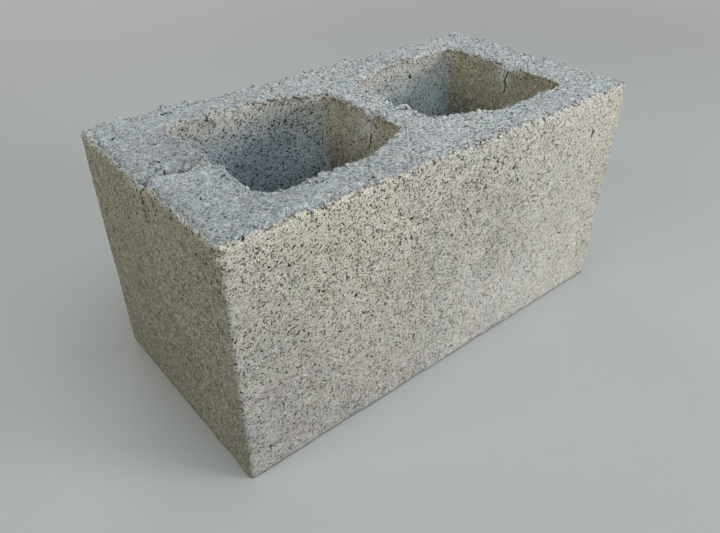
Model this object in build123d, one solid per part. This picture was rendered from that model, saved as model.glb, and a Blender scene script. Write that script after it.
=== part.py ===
from build123d import *
from math import atan2, degrees
import os

# A two-core hollow concrete block, cast in one piece.
# Millimetres. X runs along the length, Y across the width and Z up.
# The origin is the middle of the lower bed face, on which the block stands.

# Overall size
block_length = 400.0
block_width = 200.0
block_height = 200.0

# Webs and shells, measured on the upper bed face, where the cores are widest
left_end_web = 50.0
right_end_web = 44.0
centre_web = 29.0
face_shell = 32.0

# Flares that thicken the centre web where it meets the two face shells
flare_length = 52.0
flare_depth = 22.0

# Blends of the core walls, in plan
end_corner_radius = 12.0
shell_blend_radius = 60.0
web_blend_radius = 8.0

# Each core wall leans in by this much from the upper to the lower bed face
core_draft = 3.0

# Rounded edges
side_arris_radius = 3.0
upper_arris_radius = 2.0
lower_arris_radius = 1.0
core_mouth_radius = 1.5

# Marks that the core bar leaves across the upper face of each web: a steep
# side towards the near shell, and a floor that rises to the far shell
mark_depth = 4.0
mark_side_lean = 2.0
mark_root_radius = 3.0
left_mark_start = -5.0
left_mark_width = 45.0
centre_mark_start = -14.0
centre_mark_width = 20.0
right_mark_start = -16.0
right_mark_width = 24.0

# A cutting shape runs past the faces that it opens by this much
overrun = 2.0

core_length = (block_length - left_end_web - centre_web - right_end_web) / 2
left_core_end = -block_length / 2 + left_end_web
left_core_web = left_core_end + core_length
right_core_end = block_length / 2 - right_end_web
right_core_web = right_core_end - core_length
core_half_width = block_width / 2 - face_shell
draft_angle = degrees(atan2(core_draft, block_height))


def blank():
    """The outside of the block, with its worn edges and no cores."""
    solid = Box(
        block_length,
        block_width,
        block_height,
        align=(Align.CENTER, Align.CENTER, Align.MIN),
    )
    solid = fillet(solid.edges().filter_by(Axis.Z), side_arris_radius)
    solid = fillet(solid.faces().sort_by(Axis.Z)[-1].edges(), upper_arris_radius)
    return fillet(solid.faces().sort_by(Axis.Z)[0].edges(), lower_arris_radius)


def core(end_x, web_x):
    """One core, from its end web at end_x to the centre web at web_x."""
    along = 1 if web_x > end_x else -1
    flare_x = web_x - along * flare_length
    web_y = core_half_width - flare_depth
    corners = [
        (end_x, -core_half_width),
        (flare_x, -core_half_width),
        (web_x, -web_y),
        (web_x, web_y),
        (flare_x, core_half_width),
        (end_x, core_half_width),
    ]
    near_radii = [end_corner_radius, shell_blend_radius, web_blend_radius]
    radii = near_radii + near_radii[::-1]
    outline = make_face(FilletPolyline(*corners, radius=radii, close=True))
    upper_outline = Pos(0, 0, block_height) * outline
    return extrude(upper_outline, amount=block_height, dir=(0, 0, -1), taper=draft_angle)


def bar_mark(first_x, last_x, start_y, width):
    """The mark of the core bar over the web that lies from first_x to last_x."""
    corners = [
        (start_y, block_height + overrun),
        (start_y, block_height),
        (start_y + mark_side_lean, block_height - mark_depth),
        (start_y + width, block_height),
        (start_y + width, block_height + overrun),
    ]
    section = Plane.YZ * make_face(Polyline(*corners, close=True))
    section = fillet(section.vertices().sort_by(Axis.Z)[0], mark_root_radius)
    length = last_x - first_x + 2 * overrun
    return Pos(first_x - overrun, 0, 0) * extrude(section, amount=length, dir=(1, 0, 0))


def hollow_block():
    """The block: the blank, less its two cores and the three bar marks."""
    block = blank()
    block -= core(left_core_end, left_core_web)
    block -= core(right_core_end, right_core_web)
    upper_face = block.faces().sort_by(Axis.Z)[-1]
    mouths = [edge for wire in upper_face.inner_wires() for edge in wire.edges()]
    block = fillet(mouths, core_mouth_radius)
    block -= bar_mark(-block_length / 2, left_core_end, left_mark_start, left_mark_width)
    block -= bar_mark(left_core_web, right_core_web, centre_mark_start, centre_mark_width)
    block -= bar_mark(right_core_end, block_length / 2, right_mark_start, right_mark_width)
    return block


os.makedirs("parts", exist_ok=True)
export_step(hollow_block(), "parts/hollow_block.step")
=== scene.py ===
import math

import bmesh
import bpy
import numpy as np
from mathutils import Matrix, Vector, noise
from mathutils.bvhtree import BVHTree
from mathutils.kdtree import KDTree


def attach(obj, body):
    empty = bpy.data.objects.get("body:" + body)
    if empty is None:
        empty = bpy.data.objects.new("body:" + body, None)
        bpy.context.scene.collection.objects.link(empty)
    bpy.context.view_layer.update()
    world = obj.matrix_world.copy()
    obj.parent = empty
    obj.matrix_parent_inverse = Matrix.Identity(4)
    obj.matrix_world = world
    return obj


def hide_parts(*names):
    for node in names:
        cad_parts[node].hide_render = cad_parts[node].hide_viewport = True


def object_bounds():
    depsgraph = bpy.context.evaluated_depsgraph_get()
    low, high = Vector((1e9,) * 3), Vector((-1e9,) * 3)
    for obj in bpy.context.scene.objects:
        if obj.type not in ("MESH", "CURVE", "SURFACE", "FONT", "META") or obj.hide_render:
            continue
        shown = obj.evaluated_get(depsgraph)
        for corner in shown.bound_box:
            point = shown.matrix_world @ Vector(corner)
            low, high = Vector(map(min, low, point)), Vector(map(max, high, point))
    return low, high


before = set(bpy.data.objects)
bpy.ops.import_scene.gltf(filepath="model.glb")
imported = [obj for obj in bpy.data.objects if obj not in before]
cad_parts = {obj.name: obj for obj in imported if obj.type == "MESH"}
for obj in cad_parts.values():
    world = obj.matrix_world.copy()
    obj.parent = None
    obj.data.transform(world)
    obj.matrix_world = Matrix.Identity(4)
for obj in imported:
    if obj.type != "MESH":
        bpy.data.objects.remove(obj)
cad_low, cad_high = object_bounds()

MM = 0.001
NODE = "hollow_block"
HALF_LENGTH = cad_high.x
HALF_WIDTH = cad_high.y
HEIGHT = cad_high.z

# The webs' first and last x and half the cores' width, in millimetres
LEFT_WEB = (-200, -150)
CENTRE_WEB = (-11.5, 17.5)
RIGHT_WEB = (156, 200)
CORE_HALF_WIDTH = 68

# The skin's mesh: even cells, split in four near edges and in the upper zone, once more
# in the struck zone and around pits and cracks, and a third time around those lower down
CELL = 4.4 * MM
SHARP_ANGLE = math.radians(34)
EDGE_ZONE = 7 * MM
UPPER_ZONE = 10 * MM
STRUCK_ZONE = 6.5 * MM
PIT_MARGIN = 0.9 * MM
CRACK_ZONE = 4 * MM
SKIN_SEED = 7

# Ragged pits left by trapped air, each a cluster of small bowls. The mould faces have
# theirs in patches, clear of the foot and of the upper edge, and most pits are small.
MOULD_PIT_COUNT = 120
MOULD_PIT_HEIGHTS = (6 * MM, HEIGHT - 8 * MM)
MOULD_PIT_PATCH = 60 * MM
STRUCK_PIT_COUNT = 90
STRUCK_PIT_ZONE = 6 * MM
PIT_RADIUS = (1.0 * MM, 2.3 * MM)
PIT_DEPTH = (1.0 * MM, 2.4 * MM)
SMALL_PIT_POWER = 2.5
STRUCK_PIT_SHARE = 0.5
PIT_RAGGED_SIZE = 2.4 * MM
BOWLS_A_PIT = 4
BOWL_SHARE = (0.45, 0.8)
BOWL_SPREAD = 0.8
LARGE_BOWL_SPREAD = 0.5

# The largest pits that the photograph shows: x, y, z and radius in millimetres
LARGE_PITS = (
    (-53, -100, 160, 2.0),
    (-52, -100, 145, 2.0),
    (-63, -100, 145, 1.6),
    (-130, -100, 136, 1.7),
    (-128, -100, 150, 1.5),
    (-154, -100, 167, 1.7),
    (-103, -100, 119, 1.8),
    (-152, -100, 112, 1.6),
    (161, -100, 163, 2.4),
    (32, -100, 171, 1.8),
    (56, -100, 165, 2.0),
    (-183, -100, 197, 2.6),
    (-154, -99, 199, 2.6),
    (93, -99, 199, 3.0),
    (-200, 85, 157, 2.2),
    (-200, 47, 142, 2.4),
    (-91, 66, 150, 2.2),
    (103, 67, 181, 2.0),
    (-186, 71, 200, 2.8),
    (-184, -3, 200, 1.7),
    (-179, -6, 200, 1.6),
    (-172, -9, 200, 1.8),
    (-164, -6, 200, 1.7),
    (-159, -8, 200, 1.5),
    (-178, 6, 197, 2.0),
    (-171, 0, 197, 1.8),
    (-182, 11, 198, 1.9),
    (-177, 18, 198, 2.1),
    (-172, 22, 198, 1.7),
    (-167, 44, 200, 2.1),
    (-158, 54, 200, 2.1),
    (-181, 41, 200, 2.0),
    (-156, -32, 200, 1.9),
    (-161, -56, 200, 1.8),
    (-180, -76, 200, 1.9),
    (-139, 91, 200, 2.0),
    (-136, 90, 200, 2.2),
    (-133, 88, 200, 1.9),
    (-127, 97, 200, 2.0),
    (-124, 95, 200, 2.2),
)

# The core bar's marks on the struck face: the web, the points of the mark's ragged
# edge, its drop, the width over which it rises again, and how far the concrete
# swells on the edge's near side. Millimetres.
LEFT_EDGE = (
    (-200, -11),
    (-190, -8),
    (-182, -11),
    (-174, -15),
    (-166, -12),
    (-158, -14),
    (-150, -20),
)
CENTRE_EDGE = ((-12, -12), (4, -15), (18, -13))
RIGHT_EDGE = ((156, -15), (178, -17), (200, -15))
BAR_MARKS = (
    (LEFT_WEB, LEFT_EDGE, 4.2, 46, 2.8),
    (CENTRE_WEB, CENTRE_EDGE, 4.0, 22, 0.8),
    (RIGHT_WEB, RIGHT_EDGE, 4.0, 24, 0.8),
)
# The size and the width of an edge's wandering, where past it the drop begins and
# ends, how wide the swell is, how far past the web's sides a mark begins to fade and
# ends, and over what width it fades towards the face shells. All but the first in
# millimetres.
EDGE_WANDER_SIZE = 5 * MM
EDGE_WANDER = 1.2
EDGE_DROP = (-0.2, 1.0)
SWELL_WIDTH = 17
MARK_FADE = (2, 6)
SHELL_FADE = 10

# Along the left mark's edge, in millimetres past it: where the plastered lip with its painted
# highlight begins and is whole, and where the painted shadow beyond the step, the torn crevice
# and the coarser face each begin to end and end. The last is how far past the web they all reach.
LIP_BEGIN = (-13, -5)
SEAM_SHADOW_END = (6, 13)
CREVICE_END = (12, 24)
TORN_END = (20, 36)
WEB_MARGIN = 3

# The same marks in the CAD solid: where each starts, and its width
CAD_MARKS = ((-5, 45), (-14, 20), (-16, 24))
CAD_MARK_DEPTH = 4
CAD_MARK_LEAN = 2

# The bead of crumbs that runs along the left core's mouth beyond the mark's edge: its
# x, its half width, its height, and the y over which it begins and ends. Millimetres.
BEAD_X = -152
BEAD_HALF_WIDTH = 9
BEAD_HEIGHT = 3.0
BEAD_BEGIN = (-8, -2)
BEAD_END = (36, 50)

# The stretch of the left core's far mouth that is worn back: its middle x, half
# length, how far it reaches over the face shell and into the core, its depth, and how
# ragged its edge is. All but the very last, the size of the rags, in millimetres.
WORN_X = -116
WORN_HALF_LENGTH = 30
WORN_OVER_SHELL = 8
WORN_INTO_CORE = 6
WORN_DEPTH = 4.0
WORN_RAGGED = 3
WORN_RAGGED_SIZE = 9 * MM

# The burr along the far upper arris: the sizes of its random lumps and crumbs, and
# then, in millimetres, its height, how far that varies, its width, its greatest height,
# and the x, length and height of the lumps that the photograph shows
BURR_SIZE = 7.5 * MM
BURR_CRUMB_SIZE = 5.5 * MM
BURR_HEIGHT = 0.7
BURR_VARIATION = 1.7
BURR_WIDTH = 6.5
BURR_LIMIT = 5.4
BURR_LUMPS = (
    (-184, 10, 3.4),
    (-167, 12, 4.6),
    (-131, 13, 4.2),
    (-113, 8, 2.6),
    (-52, 9, 2.0),
    (44, 10, 1.6),
    (190, 8, 2.4),
)

# The right hand walls of the two cores, where cracks run down from the marks, and how
# far before and past them the webs' painted warm light and shade reach
LEFT_CORE_WALL = -12 * MM
RIGHT_CORE_WALL = 156 * MM
WEB_LIGHT_BEFORE = 30 * MM
WEB_LIGHT_PAST = 3 * MM

# Shrinkage cracks under the marks: the face's x, the crack's y, its lowest z, the z
# above which it fades, how wide its dark line of painted shade is, and how strong the
# painted light streak beside it is
CRACKS = (
    (-200 * MM, -2 * MM, 164 * MM, 205 * MM, 1.3 * MM, 0.0),
    (LEFT_CORE_WALL, -7 * MM, 161 * MM, 178 * MM, 0.95 * MM, 1.0),
    (RIGHT_CORE_WALL, -4 * MM, 168 * MM, 190 * MM, 1.0 * MM, 0.8),
)
# How wide and deep all cracks are, how far off their face they reach, how they wander,
# break off and fade, and where the painted light streak lies: how far beyond the crack its
# middle lies, how wide it is, how far off the face it reaches, and how ragged it is
CRACK_HALF_WIDTH = 1.2 * MM
CRACK_DEPTH = 1.8 * MM
CRACK_REACH = 3 * MM
CRACK_WANDER = 1.7 * MM
CRACK_WANDER_SIZE = 9 * MM
CRACK_DASH_SIZE = 3.4 * MM
CRACK_FADE = 5 * MM
LIGHT_STREAK_SHIFT = 2.5 * MM
LIGHT_STREAK_WIDTH = 8 * MM
LIGHT_STREAK_REACH = 4 * MM
LIGHT_STREAK_RAGGED_SIZE = 6 * MM

# How far below the upper face the struck face, the bar's marks, the wear of the upper
# arris and the worn mouth each begin, and how near to it they are full
STRUCK_REACH = (9 * MM, 5 * MM)
MARK_REACH = (16 * MM, 5 * MM)
UPPER_WEAR_REACH = (14 * MM, 5 * MM)
WORN_MOUTH_REACH = (12 * MM, 3 * MM)

# How far in from the sides the worn arrises, the struck paste of the left arris, partly
# painted cool light on its rounding, and the colour of the sides end, and how far from the
# edges the crumbly rim of the struck face and the painted shade of the core mouths end
ARRIS_END = (5 * MM, 9 * MM)
LEFT_ARRIS_END = (4 * MM, 9 * MM)
CORE_BEGIN = (8 * MM, 24 * MM)
RIM_END = (3 * MM, 11 * MM)
MOUTH_END = (2 * MM, 8 * MM)

# Relief of the struck face: the sizes and heights of its swells, stones and sand, the
# size of its calmer patches, how far stones and sand together are sunk, and the depth
# of the torn crevice
SWELL_SIZE = 45 * MM
SWELL_HEIGHT = 0.9 * MM
CALM_PATCH = 38 * MM
STONE_SIZE = 6.5 * MM
STONE_HEIGHT = 0.95 * MM
SAND_SIZE = 3.1 * MM
SAND_HEIGHT = 0.6 * MM
RELIEF_SINK = 1.0 * MM
CREVICE_DEPTH = 1.8 * MM

# Relief of the mould faces: wide waves and a fine roughness
WAVE_SIZE = 60 * MM
WAVE_HEIGHT = 0.4 * MM
ROUGH_SIZE = 7 * MM
ROUGH_HEIGHT = 0.22 * MM

# Wear of the arrises: how far in from the edge it reaches, the sizes of its short and
# long ripples, chips and crumbs, and how far around the far left corner it is slight
WEAR_REACH = (0.5 * MM, 5.5 * MM)
RIPPLE_SIZE = 8 * MM
LONG_RIPPLE_SIZE = 19 * MM
CHIP_SIZE = 15 * MM
CRUMB_SIZE = 4.2 * MM
CRUMB_HEIGHT = 1.3 * MM
WHOLE_CORNER = 14 * MM


def smooth(low, high, value):
    """0 below low, 1 above high, and an even ramp between them."""
    t = np.clip((value - low) / (high - low), 0, 1)
    return t * t * (3 - 2 * t)


def bell(value):
    """1 at 0, and falling to nothing on both sides."""
    return np.exp(-(value**2))


def cloud(points, size, octaves=2, shift=0.0):
    """Fractal noise about 0, with lumps of about the given size. A shift gives other lumps."""
    places = (points / size + shift).tolist()
    return np.array([noise.fractal(p, 1.0, 2.0, octaves) for p in places])


def pebbles(points, size, shift=0.0):
    """Rounded lumps, about 1 at the middle of each and 0 in the gaps between them."""
    places = (points / size + shift).tolist()
    nearest = np.array([noise.voronoi(p)[0][:2] for p in places])
    gap = nearest[:, 1] - nearest[:, 0]
    return smooth(0.0, 0.5, gap) * (1 - 0.35 * nearest[:, 0])


def distances(points, centres):
    """The distance from each point to the nearest centre, and that centre's index."""
    tree = KDTree(len(centres))
    for index, centre in enumerate(centres):
        tree.insert(centre, index)
    tree.balance()
    found = [tree.find(p) for p in points.tolist()]
    return np.array([f[2] for f in found]), np.array([f[1] for f in found])


def near_top(points, start, full):
    """0 farther than start below the upper face, and 1 nearer to it than full."""
    return smooth(HEIGHT - start, HEIGHT - full, points[:, 2])


def from_sides(points):
    """How far each point lies inside the nearest of the block's four sides."""
    return np.minimum(HALF_LENGTH - np.abs(points[:, 0]), HALF_WIDTH - np.abs(points[:, 1]))


def coordinates(mesh):
    """The mesh's vertices as an array of positions."""
    values = np.zeros(len(mesh.vertices) * 3)
    mesh.vertices.foreach_get("co", values)
    return values.reshape(-1, 3)


def store(mesh, name, values):
    """Keeps one number for each vertex, for the material to read."""
    attribute = mesh.attributes.new(name, "FLOAT", "POINT")
    attribute.data.foreach_set("value", values.astype(np.float32))


def add_piece(name, mesh):
    """Puts a smooth-shaded mesh into the scene."""
    for polygon in mesh.polygons:
        polygon.use_smooth = True
    piece = bpy.data.objects.new(name, mesh)
    bpy.context.scene.collection.objects.link(piece)
    return piece


def voxel_mesh(source, cell):
    """The CAD node's closed surface, remade of even cells."""
    bm = bmesh.new()
    bm.from_mesh(source.data)
    bmesh.ops.remove_doubles(bm, verts=bm.verts, dist=0.001 * MM)
    mesh = bpy.data.meshes.new("even_cells")
    bm.to_mesh(mesh)
    bm.free()
    piece = bpy.data.objects.new("even_cells", mesh)
    bpy.context.scene.collection.objects.link(piece)
    remesh = piece.modifiers.new("even_cells", "REMESH")
    remesh.mode = "VOXEL"
    remesh.voxel_size = cell
    depsgraph = bpy.context.evaluated_depsgraph_get()
    result = bpy.data.meshes.new_from_object(piece.evaluated_get(depsgraph))
    bpy.data.objects.remove(piece)
    return result


def sharp_places(mesh):
    """Points along the edges where the surface turns: arrises, core mouths and marks."""
    bm = bmesh.new()
    bm.from_mesh(mesh)
    sharp = [e for e in bm.edges if e.calc_face_angle(0) > SHARP_ANGLE]
    places = [(e.verts[0].co + e.verts[1].co) / 2 for e in sharp]
    bm.free()
    return places


def split_faces(mesh, wanted):
    """Splits each face whose middle is wanted into four."""
    bm = bmesh.new()
    bm.from_mesh(mesh)
    middles = np.array([f.calc_center_median() for f in bm.faces])
    chosen = wanted(middles)
    edges = {e for face, is_chosen in zip(bm.faces, chosen) if is_chosen for e in face.edges}
    ordered = sorted(edges, key=lambda e: e.index)
    bmesh.ops.subdivide_edges(bm, edges=ordered, cuts=1, use_grid_fill=True)
    bm.to_mesh(mesh)
    bm.free()


def lay_on_cad(mesh, source):
    """Moves each vertex to the nearest point of the CAD surface."""
    source.data.calc_loop_triangles()
    corners = [v.co for v in source.data.vertices]
    triangles = [tuple(t.vertices) for t in source.data.loop_triangles]
    tree = BVHTree.FromPolygons(corners, triangles)
    for vertex in mesh.vertices:
        vertex.co = tree.find_nearest(vertex.co)[0]
    mesh.update()


def choose_pits(mesh, draw):
    """Centres, radii and depths of the pits' bowls, at random places and the listed ones."""
    middles = np.array([p.center for p in mesh.polygons])
    normals = np.array([p.normal for p in mesh.polygons])
    height = middles[:, 2]
    clear = (height > MOULD_PIT_HEIGHTS[0]) & (height < MOULD_PIT_HEIGHTS[1])
    crowded = cloud(middles, MOULD_PIT_PATCH, shift=61.0) > -0.25
    mould = np.flatnonzero((np.abs(normals[:, 2]) < 0.2) & clear & crowded)
    struck = np.flatnonzero((normals[:, 2] > 0.95) & (height > HEIGHT - STRUCK_PIT_ZONE))
    chosen = np.concatenate([
        draw.choice(mould, MOULD_PIT_COUNT, replace=False),
        draw.choice(struck, STRUCK_PIT_COUNT, replace=False),
    ])
    share = draw.random(len(chosen)) ** SMALL_PIT_POWER
    share[MOULD_PIT_COUNT:] *= STRUCK_PIT_SHARE
    radii = PIT_RADIUS[0] + share * (PIT_RADIUS[1] - PIT_RADIUS[0])
    depths = PIT_DEPTH[0] + share * (PIT_DEPTH[1] - PIT_DEPTH[0])
    large = np.array(LARGE_PITS) * MM
    centres = np.concatenate([middles[chosen], large[:, :3]])
    radii = np.concatenate([radii, large[:, 3]])
    depths = np.concatenate([depths, large[:, 3]])

    member = np.repeat(np.arange(len(centres)), BOWLS_A_PIT)
    spread = np.where(member < len(chosen), BOWL_SPREAD, LARGE_BOWL_SPREAD) * radii[member]
    offset = draw.normal(size=(len(member), 3))
    offset *= (spread / np.linalg.norm(offset, axis=1))[:, None]
    bowl_share = draw.uniform(BOWL_SHARE[0], BOWL_SHARE[1], len(member))
    return centres[member] + offset, radii[member] * bowl_share, depths[member] * bowl_share


def pit_bowls(points, pits):
    """1 at the middle of the nearest bowl and 0 outside it, and how deep it is there."""
    centres, radii, depths = pits
    away, index = distances(points, centres.tolist())
    ragged = away * (1 + 0.5 * cloud(points, PIT_RAGGED_SIZE, shift=51.0))
    bowl = np.sqrt(np.clip(1 - (ragged / radii[index]) ** 2, 0, 1))
    return bowl, bowl * depths[index]


def crack_distance(points, crack):
    """How far each point is from a crack's wandering line, and how open it is there."""
    face_x, top_y, low_z = crack[:3]
    up_only = points * (0, 0, 1)
    wander = cloud(up_only, CRACK_WANDER_SIZE, octaves=3, shift=face_x / MM) * CRACK_WANDER
    across = np.abs(points[:, 1] - top_y - wander)
    off_face = np.abs(points[:, 0] - face_x)
    below = np.maximum(low_z - points[:, 2], 0)
    open_share = smooth(low_z, HEIGHT, points[:, 2])
    return np.hypot(np.hypot(across, below), np.maximum(off_face - CRACK_REACH, 0)), open_share


def crack_colour(points, crack, away, open_share):
    """The crack's painted shade at each point, and the painted light streak beside it."""
    face_x, top_y, _, fade_z, line, grey = crack
    breaks = cloud(points * (0, 0, 1), CRACK_DASH_SIZE, shift=face_x / MM)
    dashes = 0.55 + 0.45 * smooth(-0.3, 0.2, breaks)
    thin = bell(away / line) * smooth(0.0, 0.1, open_share) * dashes
    thin *= 1 - 0.65 * smooth(fade_z, fade_z + CRACK_FADE, points[:, 2])
    beside = (points[:, 1] - top_y - LIGHT_STREAK_SHIFT) / LIGHT_STREAK_WIDTH
    light_streak = bell(beside) * (np.abs(points[:, 0] - face_x) < LIGHT_STREAK_REACH) * grey
    ragged = cloud(points, LIGHT_STREAK_RAGGED_SIZE, shift=55.0) * 0.3
    light_streak *= smooth(0.1, 0.7, open_share + ragged)
    return thin, light_streak


def cut_cracks(points):
    """Depth of the cracks, their painted shade, and the painted light streak beside them."""
    depth = np.zeros(len(points))
    dark = np.zeros(len(points))
    painted_light_streak = np.zeros(len(points))
    for crack in CRACKS:
        away, open_share = crack_distance(points, crack)
        opening = bell(away / CRACK_HALF_WIDTH) * smooth(0.0, 0.25, open_share)
        depth += opening * CRACK_DEPTH * (0.4 + 0.6 * open_share)
        thin, light_streak = crack_colour(points, crack, away, open_share)
        dark = np.maximum(dark, thin)
        painted_light_streak = np.maximum(painted_light_streak, light_streak)
    return depth, dark, painted_light_streak


def bead_height(points, floor):
    """How far the bead stands above the mark's floor, in millimetres."""
    x = points[:, 0] / MM
    y = points[:, 1] / MM
    along = smooth(*BEAD_BEGIN, y) * (1 - smooth(*BEAD_END, y))
    across = bell(np.maximum(BEAD_X - x, 0) / BEAD_HALF_WIDTH)
    return (BEAD_HEIGHT - np.minimum(floor, 0)) * along * across


def worn_mouth(points):
    """1 where the left core's far mouth is worn back most, 0 where it is whole."""
    over_shell = points[:, 1] / MM - CORE_HALF_WIDTH
    along = 1 - smooth(0.4, 1.0, np.abs(points[:, 0] / MM - WORN_X) / WORN_HALF_LENGTH)
    ragged = over_shell + cloud(points, WORN_RAGGED_SIZE, shift=83.0) * WORN_RAGGED
    across = 1 - smooth(0.35 * WORN_OVER_SHELL, WORN_OVER_SHELL, ragged)
    return along * across * (over_shell > -WORN_INTO_CORE) * near_top(points, *WORN_MOUTH_REACH)


def past_edge(points, edge):
    """How far each point lies beyond a mark's edge, in millimetres: straight, and ragged."""
    edge_x = [x for x, _ in edge]
    edge_y = [y for _, y in edge]
    past = points[:, 1] / MM - np.interp(points[:, 0] / MM, edge_x, edge_y)
    return past, past + cloud(points, EDGE_WANDER_SIZE, shift=71.0) * EDGE_WANDER


def mark_shift(points):
    """How far the struck face lies above the CAD's along the core bar's marks."""
    x = points[:, 0] / MM
    y = points[:, 1] / MM
    shift = np.zeros(len(points))
    for mark, (cad_start, cad_width) in zip(BAR_MARKS, CAD_MARKS):
        (first_x, last_x), edge, drop, width, swell = mark
        past, ragged = past_edge(points, edge)
        near_side = swell * bell(np.minimum(past, 0) / SWELL_WIDTH)
        far_side = -drop * (1 - smooth(0, width, past))
        height = near_side + (far_side - near_side) * smooth(*EDGE_DROP, ragged)
        if edge is LEFT_EDGE:
            height = height + bead_height(points, height)
        cad_past = y - cad_start
        rise = (cad_past - CAD_MARK_LEAN) / (cad_width - CAD_MARK_LEAN)
        fall = np.clip(cad_past / CAD_MARK_LEAN, 0, 1)
        cad_height = -CAD_MARK_DEPTH * fall * (1 - np.clip(rise, 0, 1))
        before_web = 1 - smooth(first_x - MARK_FADE[1], first_x - MARK_FADE[0], x)
        after_web = smooth(last_x + MARK_FADE[0], last_x + MARK_FADE[1], x)
        on_shells = smooth(CORE_HALF_WIDTH - SHELL_FADE, CORE_HALF_WIDTH, np.abs(y))
        shift += (height - cad_height) * (1 - before_web) * (1 - after_web) * (1 - on_shells)
    return shift * near_top(points, *MARK_REACH) * MM


def on_left_web(points):
    """Whether each point is on the left web or in the mouth beside it."""
    return points[:, 0] / MM < LEFT_WEB[1] + WEB_MARGIN


def torn_side(points, near, far):
    """1 within near millimetres of the left mark's edge on its low side, 0 beyond far."""
    _, ragged = past_edge(points, LEFT_EDGE)
    return smooth(0, 1.2, ragged) * (1 - smooth(near, far, ragged)) * on_left_web(points)


def lip(points):
    """1 on the smooth plastered lip at the near side of the left mark's edge."""
    past, _ = past_edge(points, LEFT_EDGE)
    return smooth(*LIP_BEGIN, past) * (1 - smooth(0, 1, past)) * on_left_web(points)


def upper_relief(points, edge_distance):
    """Height of the struck upper face, and its share of gaps and of the torn crevice, which get
    painted shade.
    """
    calm = smooth(-0.4, 0.5, cloud(points, CALM_PATCH, shift=81.0))
    rim = 1 - smooth(*RIM_END, edge_distance)
    torn = torn_side(points, *TORN_END)
    plastered = lip(points)
    coarse = (0.5 - 0.2 * calm + 0.7 * rim + 1.0 * torn) * (1 - 0.7 * plastered)
    stones = pebbles(points, STONE_SIZE, shift=3.0)
    sand = pebbles(points, SAND_SIZE, shift=7.0)
    crevice = torn_side(points, *CREVICE_END) * (1 - 0.6 * stones)
    crevice *= 1 - smooth(BEAD_X - 12, BEAD_X - 4, points[:, 0] / MM)
    height = cloud(points, SWELL_SIZE) * SWELL_HEIGHT
    height += coarse * (stones * STONE_HEIGHT + sand * SAND_HEIGHT - RELIEF_SINK)
    height -= crevice * CREVICE_DEPTH
    open_stones = 2.6 - 1.2 * np.maximum(torn, 0.6 * rim) + 1.2 * plastered
    open_sand = 3.0 - 1.4 * np.maximum(torn, 0.6 * rim) + 1.2 * plastered
    gap = 1 - np.minimum(stones * open_stones, 1) * np.minimum(sand * open_sand, 1)
    return height, gap, crevice


def mould_relief(points):
    """Height of the mould faces, which are nearly flat."""
    waves = cloud(points, WAVE_SIZE, shift=11.0) * WAVE_HEIGHT
    return waves + cloud(points, ROUGH_SIZE, octaves=3, shift=5.0) * ROUGH_HEIGHT


def arris_wear(points, edge_distance):
    """How far the edges have worn and crumbled away, least of all at the far left corner."""
    at_edge = 1 - smooth(*WEAR_REACH, edge_distance)
    upper = near_top(points, *UPPER_WEAR_REACH)
    outer = 1 - smooth(*ARRIS_END, from_sides(points))
    left_end = 1 - smooth(*ARRIS_END, HALF_LENGTH + points[:, 0])
    rounding = at_edge * outer * upper * (1.3 + 1.1 * left_end) * MM
    ripple = cloud(points, RIPPLE_SIZE, octaves=3, shift=31.0) * at_edge
    ripple *= (0.35 + 1.15 * upper) * MM
    ripple += cloud(points, LONG_RIPPLE_SIZE, shift=33.0) * at_edge * outer * upper * 1.1 * MM
    chips = smooth(0.15, 0.55, cloud(points, CHIP_SIZE, octaves=3, shift=37.0)) * at_edge
    crumbs = pebbles(points, CRUMB_SIZE, shift=41.0) * at_edge * upper
    wear = rounding - ripple + chips * (0.8 + 1.0 * upper) * MM - crumbs * CRUMB_HEIGHT
    from_corner = np.hypot(points[:, 0] + HALF_LENGTH, points[:, 1] - HALF_WIDTH)
    return wear * (1 - 0.8 * bell(from_corner / WHOLE_CORNER))


def far_burr(points):
    """Height of the burr along the far upper arris."""
    x = points[:, 0] / MM
    inward = (HALF_WIDTH - points[:, 1]) / MM
    height = BURR_HEIGHT + BURR_VARIATION * cloud(points, BURR_SIZE, shift=91.0)
    for middle, length, rise in BURR_LUMPS:
        height = height + rise * bell((x - middle) / (length / 2))
    lumpy = 0.6 + 0.8 * pebbles(points, BURR_CRUMB_SIZE, shift=21.0)
    burr = np.clip(height * lumpy, 0, BURR_LIMIT) * bell(inward / BURR_WIDTH)
    return burr * near_top(points, *STRUCK_REACH) * MM


def struck_share(points, normals):
    """1 on the struck face, with the left arris and the bead, which its paste covers; there its
    cool colour is partly painted light on their rounding.
    """
    on_left_arris = 1 - smooth(*LEFT_ARRIS_END, HALF_LENGTH + points[:, 0])
    on_bead = smooth(0.5, 2.0, bead_height(points, np.zeros(len(points))))
    # On the left arris and the bead the struck face's cool paste is partly painted light on their
    # rounding
    facing_up = normals[:, 2] + 0.3 * on_left_arris + 0.45 * on_bead
    return near_top(points, *STRUCK_REACH) * smooth(0.35, 0.75, facing_up)


def web_share(points, normals):
    """1 on walls that face along the block, and up to a half close before two of them; the webs'
    painted light and shade follow it.
    """
    share = smooth(0.25, 1.0, np.abs(normals[:, 0]))
    for wall_x in (LEFT_CORE_WALL, RIGHT_CORE_WALL):
        from_wall = points[:, 0] - wall_x
        before = smooth(-WEB_LIGHT_BEFORE, 0, from_wall)
        beside = before * (points[:, 0] < wall_x + WEB_LIGHT_PAST)
        share = np.maximum(share, 0.5 * beside)
    return share


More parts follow.
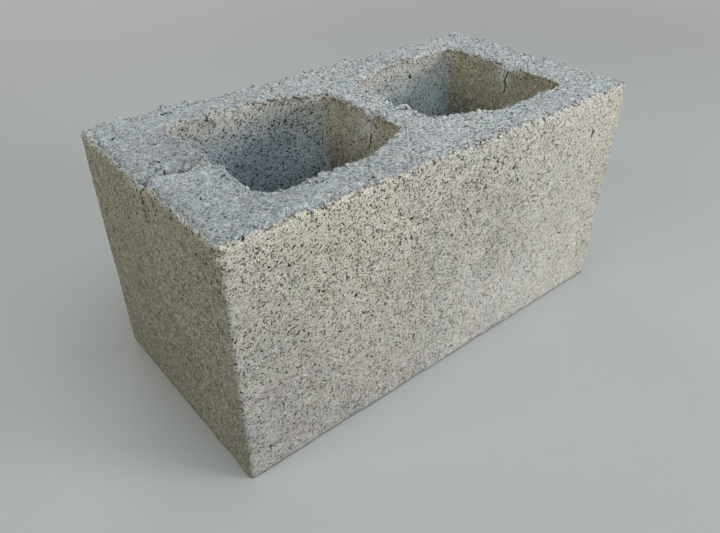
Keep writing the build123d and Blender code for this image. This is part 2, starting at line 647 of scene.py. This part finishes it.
def shape_skin(mesh, pits):
    """Moves the skin's vertices out and in, and stores what its material needs."""
    points = coordinates(mesh)
    normals = np.array([v.normal for v in mesh.vertices])
    edge_distance, _ = distances(points, sharp_places(mesh))
    struck = struck_share(points, normals)
    under = smooth(0.3, 0.8, -normals[:, 2])
    worn = worn_mouth(points)

    upper_height, gap, crevice = upper_relief(points, edge_distance)
    bowl, pit_depth = pit_bowls(points, pits)
    crack_depth, dark, painted_light_streak = cut_cracks(points)
    height = mould_relief(points) * (1 - struck) + upper_height * struck
    height -= arris_wear(points, edge_distance) + pit_depth + crack_depth
    # Pits, the torn crevice and the cracks get painted shade
    hollow = np.maximum(np.maximum(bowl, 0.65 * crevice * struck), dark)

    moved = points + normals * (height * (1 - under))[:, None]
    moved[:, 2] += mark_shift(points) + far_burr(points) - worn * WORN_DEPTH * MM
    moved[:, 2] = np.maximum(moved[:, 2], 0)
    mesh.vertices.foreach_set("co", moved.ravel())
    mesh.update()

    struck = struck * (1 - worn)
    core = smooth(*CORE_BEGIN, from_sides(points)) * (1 - struck) * (1 - under)
    web = web_share(points, normals) * core
    # Painted shade along the core mouths' rounded edges, where the lamps light them, and over the
    # worn stretch of the left core's far mouth
    mouth = (1 - smooth(*MOUTH_END, edge_distance)) * near_top(points, *STRUCK_REACH) * core
    store(mesh, "struck", struck)
    store(mesh, "painted_light_streak", painted_light_streak * (1 - struck))
    # Painted shade in the gaps between the struck face's stones
    store(mesh, "gap", gap * struck)
    store(mesh, "hollow", hollow)
    store(mesh, "core", core)
    store(mesh, "web", web)
    store(mesh, "mouth", np.maximum(mouth * (1 - web), 2.2 * worn))
    # Painted highlight on the plastered lip and painted shadow just past the left mark's step
    store(mesh, "tone_and_seam_light", 0.5 + (0.7 * lip(points) - 0.5 * torn_side(points, *SEAM_SHADOW_END)) * struck)


def build_skin():
    """The block's whole surface as one closed mesh."""
    draw = np.random.default_rng(SKIN_SEED)
    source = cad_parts[NODE]
    mesh = voxel_mesh(source, CELL)
    edges = sharp_places(mesh)
    pits = choose_pits(mesh, draw)

    def near_edge_or_top(middles):
        return (distances(middles, edges)[0] < EDGE_ZONE) | (middles[:, 2] > HEIGHT - UPPER_ZONE)

    def near_pit_or_crack(middles, margin):
        away, index = distances(middles, pits[0].tolist())
        cracks = [crack_distance(middles, crack)[0] < CRACK_ZONE for crack in CRACKS]
        return (away < pits[1][index] + margin) | np.any(cracks, axis=0)

    def struck_or_pit(middles):
        return (middles[:, 2] > HEIGHT - STRUCK_ZONE) | near_pit_or_crack(middles, 2 * PIT_MARGIN)

    def fine_pit(middles):
        return near_pit_or_crack(middles, PIT_MARGIN) & (middles[:, 2] < HEIGHT - STRUCK_ZONE)

    split_faces(mesh, lambda middles: near_edge_or_top(middles) | struck_or_pit(middles))
    split_faces(mesh, struck_or_pit)
    split_faces(mesh, fine_pit)
    lay_on_cad(mesh, source)
    shape_skin(mesh, pits)
    return add_piece("block_skin", mesh)


# Grains bedded in the struck face, most of them within the rim beside its edges
GRAIN_SEED = 23
GRAIN_COUNT = 5500
GRAIN_RADIUS = (0.4 * MM, 1.3 * MM)
GRAIN_LEVELS = 1
STONE_COUNT = 650
STONE_RADIUS = (1.2 * MM, 2.6 * MM)
STONE_LEVELS = 2
GRAIN_ZONE = 7 * MM
GRAIN_RIM = 9 * MM
RIM_PROBES = 6
GRAIN_SHARE_INSIDE = 0.15
GRAIN_SUNK = (0.25, 0.8)
GRAIN_STRETCH = (0.7, 1.2)
GRAIN_LUMPS = (0.8, 1.12)
GRAIN_TINT = (0.3, 0.9)


def ball(levels):
    """Vertices and faces of a small round ball."""
    bm = bmesh.new()
    bmesh.ops.create_icosphere(bm, subdivisions=levels, radius=1.0)
    vertices = np.array([v.co for v in bm.verts])
    faces = np.array([[v.index for v in f.verts] for f in bm.faces])
    bm.free()
    return vertices, faces


def random_turns(count, draw):
    """Rotation matrices that point every way."""
    q = draw.normal(size=(count, 4))
    q /= np.linalg.norm(q, axis=1)[:, None]
    w, x, y, z = q.T
    rows = np.array([
        [1 - 2 * (y * y + z * z), 2 * (x * y - z * w), 2 * (x * z + y * w)],
        [2 * (x * y + z * w), 1 - 2 * (x * x + z * z), 2 * (y * z - x * w)],
        [2 * (x * z - y * w), 2 * (y * z + x * w), 1 - 2 * (x * x + y * y)],
    ])
    return rows.transpose(2, 0, 1)


def near_rim(skin_tree, x, y):
    """Whether the struck face ends close to x, y: at a core's mouth or an arris."""
    for probe in range(RIM_PROBES):
        angle = math.radians(360 / RIM_PROBES * probe)
        beside = (x + GRAIN_RIM * math.cos(angle), y + GRAIN_RIM * math.sin(angle), 2 * HEIGHT)
        hit = skin_tree.ray_cast(beside, (0, 0, -1))[0]
        if hit is None or hit.z < HEIGHT / 2:
            return True
    return False


def build_grains(name, skin_tree, count, radius_range, levels, draw):
    """Angular grains bedded in the struck face, joined into one mesh."""
    vertices, faces = ball(levels)
    places = []
    radii = []
    while len(places) < count:
        x = draw.uniform(-HALF_LENGTH, HALF_LENGTH)
        y = draw.uniform(-HALF_WIDTH, HALF_WIDTH)
        radius = radius_range[0] + draw.random() ** 2 * (radius_range[1] - radius_range[0])
        is_spare = draw.random() > GRAIN_SHARE_INSIDE
        hit, normal, _, _ = skin_tree.ray_cast((x, y, 2 * HEIGHT), (0, 0, -1))
        if hit is None or hit.z < HEIGHT - GRAIN_ZONE:
            continue
        if is_spare and not near_rim(skin_tree, x, y):
            continue
        sunk = draw.uniform(*GRAIN_SUNK) * radius
        places.append(hit - normal * sunk)
        radii.append(radius)
    stretch = draw.uniform(*GRAIN_STRETCH, (count, 1, 3))
    lumps = draw.uniform(*GRAIN_LUMPS, (count, len(vertices), 1))
    local = vertices[None] * stretch * lumps * np.array(radii)[:, None, None]
    turned = np.einsum("nij,nkj->nki", random_turns(count, draw), local)
    points = (turned + np.array(places)[:, None]).reshape(-1, 3)
    corners = (faces[None] + len(vertices) * np.arange(count)[:, None, None]).reshape(-1, 3)
    mesh = bpy.data.meshes.new(name)
    mesh.from_pydata(points.tolist(), [], corners.tolist())
    store(mesh, "struck", np.ones(len(points)))
    for share in ("painted_light_streak", "gap", "hollow", "core", "web", "mouth"):
        store(mesh, share, np.zeros(len(points)))
    store(mesh, "tone_and_seam_light", np.repeat(draw.uniform(*GRAIN_TINT, count), len(vertices)))
    return add_piece(name, mesh)


# Linear colours of the dry concrete, some of them painted light and shade as said below
MOULD_PASTE = (0.52, 0.485, 0.395, 1)
MOULD_PASTE_RIGHT = (0.54, 0.525, 0.475, 1)
LOW_PASTE = (0.42, 0.412, 0.39, 1)
LOW_MIDDLE_PASTE = (0.585, 0.577, 0.54, 1)
RIGHT_EDGE_PASTE = (0.505, 0.48, 0.40, 1)
# The left end's two colours below are painted shade: that end faces away from the key light, and
# is darker at its foot
END_PASTE_PAINTED_SHADE = (0.38, 0.365, 0.295, 1)
END_FOOT_PASTE_PAINTED_SHADE = (0.29, 0.285, 0.24, 1)
STRUCK_PASTE = (0.345, 0.365, 0.375, 1)
STRUCK_PASTE_RIGHT = (0.52, 0.535, 0.535, 1)
CORE_PASTE = (0.53, 0.53, 0.49, 1)
CORE_PASTE_RIGHT = (0.63, 0.64, 0.59, 1)
# The three web colours below are painted light and shade on walls that face along the block: warm
# bounce light above, deep shade below
WEB_PASTE_PAINTED_LIGHT = (0.56, 0.54, 0.47, 1)
WEB_PASTE_RIGHT_PAINTED_LIGHT = (0.40, 0.375, 0.285, 1)
WEB_PASTE_LOW_PAINTED_SHADE = (0.10, 0.105, 0.09, 1)
# The pale streak colour below is painted light beside the web cracks, where the wall turns
# towards the sky
LIGHT_STREAK_PAINTED = (0.80, 0.84, 0.87, 1)
# The three deep colours below are painted shade, darker and bluer deeper in the cores
DEEP_PASTE_PAINTED_SHADE = (0.37, 0.46, 0.53, 1)
DEEP_PASTE_RIGHT_PAINTED_SHADE = (0.57, 0.66, 0.69, 1)
DEEP_PASTE_LOW_PAINTED_SHADE = (0.125, 0.17, 0.20, 1)
PALE_GRAIN = (0.74, 0.72, 0.67, 1)
WARM_GRAIN = (0.40, 0.34, 0.25, 1)
# The two pore colours below are painted shade inside pores, pits, cracks and the gaps between
# stones
PORE_PAINTED_SHADE = (0.046, 0.034, 0.02, 1)
STRUCK_PORE_PAINTED_SHADE = (0.045, 0.05, 0.055, 1)

# How far in from the left end its painted shade begins to end and ends
LEFT_END_SHADE_REACH = (0.5 * MM, 3.5 * MM)

# Faint pink, green and blue clouds: what they leave of the colour at least, and how
# much more at most
CLOUD_LEAST = 0.94
CLOUD_RANGE = 0.12

# The surface: its roughness over the sand's noise, how much it reflects, and its bump
ROUGHNESS = (0.84, 0.97)
SPECULAR_LEVEL = 0.12
BUMP_HEIGHT = 0.7 * MM
BUMP_STRENGTH = 0.8

# Sizes of the material's noises
SAND_NOISE = 0.75 * MM
OPENNESS_NOISE = 2.4 * MM
CLUSTER_NOISE = 8 * MM
HUE_NOISE = 18 * MM
PATCH_NOISE = 60 * MM

# Cells that noise pushes about: the size of the noise, how far it pushes, and the
# size of the cells
GRIT_CELLS = (1.0 * MM, 0.6 * MM, 1.1 * MM)
COARSE_CELLS = (1.2 * MM, 0.6 * MM, 1.6 * MM)
GRAVEL_CELLS = (1.6 * MM, 1.2 * MM, 2.3 * MM)
STONE_CELLS = (3 * MM, 2 * MM, 3.8 * MM)
JOINT_CELLS = (2.0 * MM, 1.0 * MM, 2.6 * MM)

# A pore begins to open, and is open, where the distance within its cell and the
# crowding together come to these
DOT_OPENS = (0.69, 0.79)
MEDIUM_PORE_OPENS = (0.76, 0.83)
MIDDLING_PORE_OPENS = (0.89, 0.94)
LARGE_PORE_OPENS = (0.97, 1.02)


class Graph:
    """A short way to write a material's nodes: sockets and values go in by name."""

    def __init__(self, material):
        self.tree = material.node_tree

    def feed(self, made, key, value):
        socket = made.inputs[key]
        if isinstance(value, bpy.types.NodeSocket):
            self.tree.links.new(value, socket)
        else:
            socket.default_value = value

    def node(self, kind, inputs, **settings):
        made = self.tree.nodes.new(kind)
        for key, value in settings.items():
            setattr(made, key, value)
        for key, value in inputs.items():
            self.feed(made, key, value)
        return made

    def attribute(self, name):
        return self.node("ShaderNodeAttribute", {}, attribute_name=name).outputs["Fac"]

    def maths(self, operation, first, second):
        return self.node("ShaderNodeMath", {0: first, 1: second}, operation=operation).outputs[0]

    def add(self, first, second):
        return self.maths("ADD", first, second)

    def less(self, first, second):
        return self.maths("SUBTRACT", first, second)

    def times(self, first, second):
        return self.maths("MULTIPLY", first, second)

    def most(self, first, second):
        return self.maths("MAXIMUM", first, second)

    def swing(self, value, amount):
        """A value about a half, brought to swing about 0, times an amount."""
        return self.times(self.less(value, 0.5), amount)

    def ramp(self, value, low, high, out_low=0.0, out_high=1.0):
        inputs = {"Value": value, "From Min": low, "From Max": high}
        inputs.update({"To Min": out_low, "To Max": out_high})
        made = self.node("ShaderNodeMapRange", inputs, interpolation_type="SMOOTHSTEP")
        return made.outputs["Result"]

    def separate(self, colour):
        return self.node("ShaderNodeSeparateColor", {0: colour}).outputs

    def noise(self, where, size, detail=2.0, roughness=0.5):
        inputs = {"Vector": where, "Scale": 1 / size, "Detail": detail, "Roughness": roughness}
        return self.node("ShaderNodeTexNoise", inputs).outputs

    def cells(self, where, size):
        return self.node("ShaderNodeTexVoronoi", {"Vector": where, "Scale": 1 / size}).outputs

    def joints(self, where, size):
        """The distance to the nearest joint between cells, as a share of their size."""
        inputs = {"Vector": where, "Scale": 1 / size}
        made = self.node("ShaderNodeTexVoronoi", inputs, feature="DISTANCE_TO_EDGE")
        return made.outputs["Distance"]

    def mix(self, share, first, second, blend="MIX"):
        inputs = {0: share, 6: first, 7: second}
        return self.node("ShaderNodeMix", inputs, data_type="RGBA", blend_type=blend).outputs[2]

    def shade(self, colour, amount):
        """The colour times an amount, or times another colour."""
        return self.mix(1.0, colour, amount, "MULTIPLY")

    def vector(self, operation, inputs):
        return self.node("ShaderNodeVectorMath", inputs, operation=operation).outputs[0]

    def warp(self, where, size, amount):
        """The coordinates, pushed about by noise."""
        push = self.noise(where, size, 1.0)["Color"]
        centred = self.vector("SUBTRACT", {0: push, 1: (0.5, 0.5, 0.5)})
        scaled = self.vector("SCALE", {0: centred, "Scale": amount})
        return self.vector("ADD", {0: where, 1: scaled})


class ConcreteGraph(Graph):
    """A graph with what pores and colours both use: places, stored shares and textures."""

    def __init__(self, material):
        super().__init__(material)
        self.where = self.node("ShaderNodeTexCoord", {}).outputs["Object"]
        self.place = self.node("ShaderNodeSeparateXYZ", {0: self.where}).outputs
        self.struck = self.attribute("struck")
        self.core = self.attribute("core")
        # Walls that face along the block, where the webs' painted light and shade go
        self.web = self.attribute("web")
        left_end = (LEFT_END_SHADE_REACH[0] - HALF_LENGTH, LEFT_END_SHADE_REACH[1] - HALF_LENGTH)
        # The left end, where its painted shade goes
        self.left_end = self.ramp(self.place["X"], *left_end, 1.0, 0.0)
        self.sand = self.noise(self.where, SAND_NOISE, 1.0)["Fac"]
        self.openness = self.noise(self.where, OPENNESS_NOISE, 2.0, 0.6)["Fac"]
        self.grit = self.warped_cells(*GRIT_CELLS)
        self.stones = self.warped_cells(*STONE_CELLS)

    def warped_cells(self, warp_size, warp_amount, size):
        return self.cells(self.warp(self.where, warp_size, warp_amount), size)

    def along(self, axis, low, high, out_low=0.0, out_high=1.0):
        """A ramp over the block, from low to high times its half length, half width or height."""
        span = {"X": HALF_LENGTH, "Y": HALF_WIDTH, "Z": HEIGHT}[axis]
        return self.ramp(self.place[axis], low * span, high * span, out_low, out_high)


def pore_crowd(g):
    """How crowded the pores are: most high up in the middle, fewer on ends and webs."""
    clusters = g.noise(g.where, CLUSTER_NOISE)["Fac"]
    crowd = g.ramp(clusters, 0.3, 0.7, -0.04, 0.04)
    crowd = g.add(crowd, g.along("X", -1.0, 0.0, -0.01, 0.035))
    crowd = g.less(crowd, g.along("X", 0.0, 1.0, 0.0, 0.06))
    crowd = g.add(crowd, g.along("Z", 0.0, 1.0, -0.015, 0.02))
    crowd = g.add(crowd, g.times(g.struck, g.along("X", -0.7, 0.7, -0.035, 0.06)))
    crowd = g.less(crowd, g.times(g.left_end, 0.02))
    crowd = g.less(crowd, g.times(g.web, 0.02))
    crowd = g.add(crowd, g.swing(g.sand, 0.12))
    return g.add(crowd, g.swing(g.openness, 0.25))


def open_pores(g):
    """Small and large pores: dots where grains meet, and short open joints along them."""
    crowd = pore_crowd(g)
    coarse = g.warped_cells(*COARSE_CELLS)
    gravel = g.warped_cells(*GRAVEL_CELLS)
    warp_size, warp_amount, joint_size = JOINT_CELLS
    joints = g.joints(g.warp(g.where, warp_size, warp_amount), joint_size)
    dots = g.ramp(g.add(g.grit["Distance"], crowd), *DOT_OPENS)
    medium = g.ramp(g.add(coarse["Distance"], crowd), *MEDIUM_PORE_OPENS)
    arcs = g.times(g.ramp(joints, 0.02, 0.07, 1.0, 0.0), g.ramp(g.openness, 0.56, 0.64))
    small = g.most(g.most(dots, medium), arcs)
    small = g.times(small, g.ramp(g.openness, 0.40, 0.62, 0.55, 1.0))
    small = g.times(small, g.ramp(g.most(g.struck, g.web), 0.0, 1.0, 1.0, 0.8))
    middling = g.ramp(g.add(gravel["Distance"], crowd), *MIDDLING_PORE_OPENS)
    large = g.ramp(g.add(g.stones["Distance"], crowd), *LARGE_PORE_OPENS)
    return small, g.most(middling, large)


def all_pores(g, small, large):
    """Where painted shade goes: the pores, with the pits and cracks, and the gaps between the
    struck face's stones.
    """
    edge = g.swing(g.sand, 1.2)
    torn = g.ramp(g.add(g.attribute("hollow"), edge), 0.35, 0.60)
    sunken = g.ramp(g.add(g.attribute("gap"), edge), 0.85, 1.15, 0.0, 0.6)
    return g.most(g.most(small, large), g.most(torn, sunken))


def mould_paste(g, past_left_web):
    """The mould faces: paler towards the right and duller towards the lower left, with painted
    shade on the left end that is darker at its foot.
    """
    foot = g.ramp(g.add(g.place["X"], g.place["Z"]), -0.9 * HALF_LENGTH, 0.6 * HALF_LENGTH)
    paste = g.mix(foot, LOW_PASTE, g.mix(past_left_web, MOULD_PASTE, MOULD_PASTE_RIGHT))
    low_middle = g.times(g.along("Z", 0.2, 0.5, 1.0, 0.0), g.along("X", -0.4, 0.1))
    before_right = g.along("X", 0.4, 0.9, 1.0, 0.3)
    paste = g.mix(g.times(low_middle, before_right), paste, LOW_MIDDLE_PASTE)
    paste = g.mix(g.along("X", 0.82, 0.98, 0.0, 0.85), paste, RIGHT_EDGE_PASTE)
    paste = g.shade(paste, g.along("Z", 0.5, 0.95, 1.0, 1.12))
    # Painted shade on the left end, darker towards its foot
    painted_end_shade = g.mix(g.along("Z", 0.0, 1.0), END_FOOT_PASTE_PAINTED_SHADE, END_PASTE_PAINTED_SHADE)
    return g.mix(g.left_end, paste, painted_end_shade)


def core_paste(g):
    """The cores: painted shade, darker and bluer below their mouths, and painted warm light and
    shade on the webs.
    """
    # Painted shade deeper in the cores, darker and bluer further down
    rightward = g.along("X", -0.5, 0.5)
    painted_deep_shade = g.mix(rightward, DEEP_PASTE_PAINTED_SHADE, DEEP_PASTE_RIGHT_PAINTED_SHADE)
    painted_deep_shade = g.mix(g.along("Z", 0.45, 0.78), DEEP_PASTE_LOW_PAINTED_SHADE, painted_deep_shade)
    mouth_paste = g.mix(rightward, CORE_PASTE, CORE_PASTE_RIGHT)
    mouth_paste = g.shade(mouth_paste, g.along("X", -0.76, -0.56, 0.78, 1.0))
    paste = g.mix(g.along("Z", 0.78, 0.98), painted_deep_shade, mouth_paste)
    # Painted light and shade on the webs, by which way they face: warm near the top, dark deep
    # down
    painted_web_light_and_shade = g.mix(g.along("X", 0.0, 0.7), WEB_PASTE_PAINTED_LIGHT, WEB_PASTE_RIGHT_PAINTED_LIGHT)
    painted_web_light_and_shade = g.mix(g.along("Z", 0.58, 0.95), WEB_PASTE_LOW_PAINTED_SHADE, painted_web_light_and_shade)
    return g.mix(g.web, paste, painted_web_light_and_shade)


def whole_paste(g):
    """The paste of all faces, with the painted light streak beside the cracks."""
    past_left_web = g.along("X", -0.75, 0.1)
    paste = g.mix(g.core, mould_paste(g, past_left_web), core_paste(g))
    # The pale streak beside the cracks is painted light
    paste = g.mix(g.attribute("painted_light_streak"), paste, LIGHT_STREAK_PAINTED)
    struck_paste = g.mix(past_left_web, STRUCK_PASTE, STRUCK_PASTE_RIGHT)
    struck_paste = g.shade(struck_paste, g.along("Y", 0.5, 0.9, 1.0, 1.07))
    return g.mix(g.struck, paste, struck_paste)


def with_grains(g, paste):
    """The paste with pale and warm grains in it."""
    grain = g.separate(g.stones["Color"])
    speck = g.separate(g.grit["Color"])
    colour = g.mix(g.ramp(grain["Red"], 0.70, 0.95, 0.0, 0.25), paste, PALE_GRAIN)
    colour = g.mix(g.ramp(grain["Green"], 0.90, 1.0, 0.0, 0.35), colour, WARM_GRAIN)
    pale = g.ramp(speck["Blue"], 0.70, 0.80, 0.0, 0.4)
    pale = g.times(pale, g.ramp(g.struck, 0.0, 1.0, 1.0, 0.6))
    return g.mix(pale, colour, PALE_GRAIN)


def tone(g):
    """How light each place is: broad patches, speckles, grit, the grains' own tone, the painted
    lip highlight and seam shadow, and painted shade on the core mouths.
    """
    patches = g.noise(g.where, PATCH_NOISE, 3.0)["Fac"]
    speck = g.separate(g.grit["Color"])
    speckle = g.ramp(g.sand, 0.25, 0.75, -0.26, 0.26)
    speckle = g.times(speckle, g.ramp(g.struck, 0.0, 1.0, 1.0, 0.4))
    light = g.add(g.ramp(patches, 0.3, 0.7, 0.94, 1.05), speckle)
    light = g.add(light, g.ramp(speck["Red"], 0.0, 1.0, -0.10, 0.10))
    light = g.add(light, g.swing(g.attribute("tone_and_seam_light"), 0.26))
    # Painted shade on the core mouths and the worn stretch
    return g.less(light, g.times(g.attribute("mouth"), 0.15))


def concrete():
    """Dry, open-grained concrete: mould faces, struck face, pores, grains and wear."""
    material = bpy.data.materials.new("concrete")
    material.use_nodes = True
    g = ConcreteGraph(material)
    shader = material.node_tree.nodes["Principled BSDF"]
    small, large = open_pores(g)
    colour = g.shade(with_grains(g, whole_paste(g)), tone(g))
    hues = g.noise(g.where, HUE_NOISE)["Color"]
    clouds = g.vector("MULTIPLY_ADD", {0: hues, 1: (CLOUD_RANGE,) * 3, 2: (CLOUD_LEAST,) * 3})
    colour = g.shade(colour, clouds)
    # Painted shade in pores, pits, cracks, the crevice and the gaps between stones
    colour = g.mix(all_pores(g, small, large), colour, g.mix(g.struck, PORE_PAINTED_SHADE, STRUCK_PORE_PAINTED_SHADE))
    g.feed(shader, "Base Color", colour)
    g.feed(shader, "Roughness", g.ramp(g.sand, 0.3, 0.7, *ROUGHNESS))
    g.feed(shader, "Specular IOR Level", SPECULAR_LEVEL)

    level = g.less(g.times(g.sand, 0.5), g.most(small, large))
    level = g.less(level, g.times(g.grit["Distance"], 0.4))
    bump_inputs = {"Height": level, "Distance": BUMP_HEIGHT, "Strength": BUMP_STRENGTH}
    bump = g.node("ShaderNodeBump", bump_inputs)
    g.feed(shader, "Normal", bump.outputs["Normal"])
    return material


# The floor, the backdrop into which it fades between two distances from the block's
# middle, and the world's faint even light
FLOOR_SIZE = 60
FLOOR_COLOUR = (0.41, 0.415, 0.405, 1)
FLOOR_ROUGHNESS = 0.9
FLOOR_FADE = (0.6, 1.7)
BACKDROP_COLOUR = (0.42, 0.425, 0.415, 1)
WORLD_COLOUR = (0.93, 0.97, 1.0, 1)
WORLD_STRENGTH = 0.12

# A low warm softbox at the right, a cool one overhead, and weak ones at the left and
# behind: name, place, size, watts and colour
LAMPS = (
    ("key", (1.6, -2.0, 0.75), 0.95, 43, (1.0, 0.95, 0.905)),
    ("overhead", (0.0, -0.7, 2.3), 1.8, 45, (0.82, 0.925, 1.0)),
    ("left", (-2.0, 0.2, 1.3), 1.2, 13, (1.0, 0.90, 0.66)),
    ("back", (0.5, 2.4, 0.9), 1.2, 18, (1.0, 0.98, 0.95)),
)


def camera_sees(g, share, otherwise, backdrop):
    """Shows the camera, and nothing else, the backdrop: all of it, or the share if given."""
    seen = g.node("ShaderNodeLightPath", {}).outputs["Is Camera Ray"]
    if share is not None:
        seen = g.times(seen, share)
    inputs = {0: seen, 1: otherwise.outputs[0], 2: backdrop.outputs[0]}
    return g.node("ShaderNodeMixShader", inputs).outputs[0]


def build_floor():
    """A plain pale floor, which fades into the backdrop for the camera, away from the block."""
    bpy.ops.mesh.primitive_plane_add(size=FLOOR_SIZE)
    floor = bpy.context.object
    floor.name = "floor"
    material = bpy.data.materials.new("floor")
    material.use_nodes = True
    g = Graph(material)
    shader = material.node_tree.nodes["Principled BSDF"]
    g.feed(shader, "Base Color", FLOOR_COLOUR)
    g.feed(shader, "Roughness", FLOOR_ROUGHNESS)
    backdrop = g.node("ShaderNodeEmission", {"Color": BACKDROP_COLOUR, "Strength": 1.0})
    where = g.node("ShaderNodeTexCoord", {}).outputs["Object"]
    away = g.node("ShaderNodeVectorMath", {0: where}, operation="LENGTH").outputs["Value"]
    surface = camera_sees(g, g.ramp(away, *FLOOR_FADE), shader, backdrop)
    g.feed(material.node_tree.nodes["Material Output"], "Surface", surface)
    floor.data.materials.append(material)


def build_lights():
    """Square softboxes, each turned to the middle of the block."""
    for name, place, size, watts, colour in LAMPS:
        light = bpy.data.lights.new(name, "AREA")
        light.size = size
        light.energy = watts
        light.color = colour
        lamp = bpy.data.objects.new(name, light)
        lamp.location = place
        aim = Vector((0, 0, HEIGHT / 2)) - Vector(place)
        lamp.rotation_euler = aim.to_track_quat("-Z", "Y").to_euler()
        bpy.context.scene.collection.objects.link(lamp)


def build_world():
    """A faint even light, which the camera sees as a pale backdrop behind the floor."""
    world = bpy.data.worlds.new("studio")
    world.use_nodes = True
    g = Graph(world)
    faint = world.node_tree.nodes["Background"]
    g.feed(faint, "Color", WORLD_COLOUR)
    g.feed(faint, "Strength", WORLD_STRENGTH)
    backdrop = g.node("ShaderNodeBackground", {"Color": BACKDROP_COLOUR, "Strength": 1.0})
    surface = camera_sees(g, None, faint, backdrop)
    g.feed(world.node_tree.nodes["World Output"], "Surface", surface)
    bpy.context.scene.world = world


# The camera, worked out from the block's own corners in the photograph
CAMERA_PLACE = (-0.3254, -0.3729, 0.3913)
CAMERA_AZIMUTH = math.radians(-39.64)
CAMERA_ELEVATION = math.radians(35.18)
CAMERA_ROLL = math.radians(-0.18)
CAMERA_LENS = 32.46
SENSOR_WIDTH = 36.0
CLIP_START = 0.01


def build_camera():
    """The camera at the photograph's place and angle."""
    data = bpy.data.cameras.new("camera")
    data.sensor_width = SENSOR_WIDTH
    data.lens = CAMERA_LENS
    data.clip_start = CLIP_START
    camera = bpy.data.objects.new("camera", data)
    level = math.cos(CAMERA_ELEVATION)
    back = Vector((
        math.sin(CAMERA_AZIMUTH) * level,
        -math.cos(CAMERA_AZIMUTH) * level,
        math.sin(CAMERA_ELEVATION),
    ))
    right = Vector((math.cos(CAMERA_AZIMUTH), math.sin(CAMERA_AZIMUTH), 0))
    up = back.cross(right)
    rolled_right = math.cos(CAMERA_ROLL) * right + math.sin(CAMERA_ROLL) * up
    rolled_up = back.cross(rolled_right)
    turn = Matrix((rolled_right, rolled_up, back)).transposed()
    camera.matrix_world = Matrix.Translation(CAMERA_PLACE) @ turn.to_4x4()
    bpy.context.scene.collection.objects.link(camera)
    bpy.context.scene.camera = camera


material = concrete()
skin = build_skin()
skin_tree = BVHTree.FromPolygons(
    [v.co for v in skin.data.vertices], [tuple(p.vertices) for p in skin.data.polygons]
)
draw = np.random.default_rng(GRAIN_SEED)
grains = build_grains("struck_grains", skin_tree, GRAIN_COUNT, GRAIN_RADIUS, GRAIN_LEVELS, draw)
stones = build_grains("struck_stones", skin_tree, STONE_COUNT, STONE_RADIUS, STONE_LEVELS, draw)
for piece in (skin, grains, stones):
    piece.data.materials.clear()
    piece.data.materials.append(material)
    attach(piece, "root")
    print(piece.name, "triangles", sum(len(p.vertices) - 2 for p in piece.data.polygons))
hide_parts(NODE)

build_floor()
build_lights()
build_world()
build_camera()
bpy.context.scene.view_settings.view_transform = "Standard"
